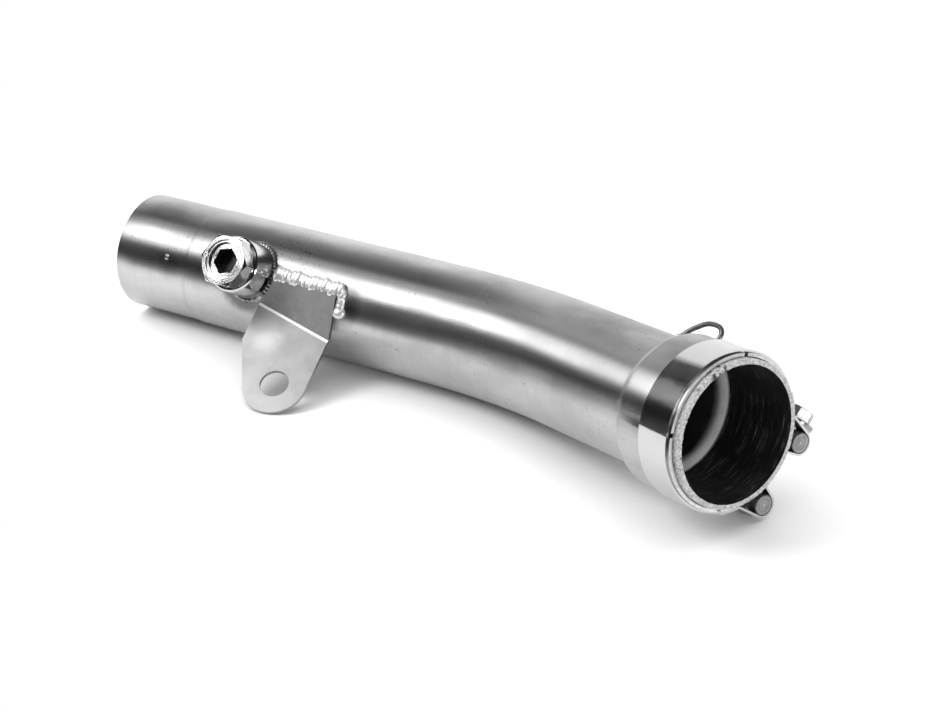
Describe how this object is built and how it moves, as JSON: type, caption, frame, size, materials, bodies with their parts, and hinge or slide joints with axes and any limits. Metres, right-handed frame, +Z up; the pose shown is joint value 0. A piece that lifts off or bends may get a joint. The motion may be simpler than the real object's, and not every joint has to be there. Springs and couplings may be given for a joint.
{
  "type": "motorcycle decat pipe",
  "caption": "Stainless exhaust link pipe with a gentle bend, a plugged sensor boss, a folded mounting tab, and a clamped, slotted outlet holding a sleeve gasket.",
  "frame": {"origin": "centre of the inlet mouth, on the axis of the straight run", "axes": "+X runs along the straight run from the inlet towards the bend, +Z is up as the pipe lies at rest, the sensor boss and the tab are on the -Y side"},
  "size_m": [0.3799, 0.1231, 0.0829],
  "materials": {
    "tube_steel": "brushed stainless",
    "weld_steel": "rippled weld",
    "plate_steel": "matt sheet",
    "band_steel": "polished",
    "plug_steel": "bright turned",
    "screw_steel": "plated",
    "wire_steel": "drawn wire",
    "seal_metal": "soft metal ring",
    "gasket": "pressed mesh and graphite"
  },
  "bodies": {
    "root": {"tube": "tube_steel", "gasket_sleeve": "gasket", "sensor_boss": "tube_steel", "sensor_boss_weld": "weld_steel", "sensor_plug": "plug_steel", "plug_seal": "seal_metal", "bracket": "plate_steel", "bracket_weld": "weld_steel", "spring_hook": "wire_steel", "hook_weld_rear": "weld_steel", "hook_weld_front": "weld_steel", "clamp_band": "band_steel", "clamp_barrel_plain": "screw_steel", "clamp_barrel_threaded": "screw_steel", "clamp_screw": "screw_steel", "clamp_washer": "screw_steel"}
  },
  "joints": []
}
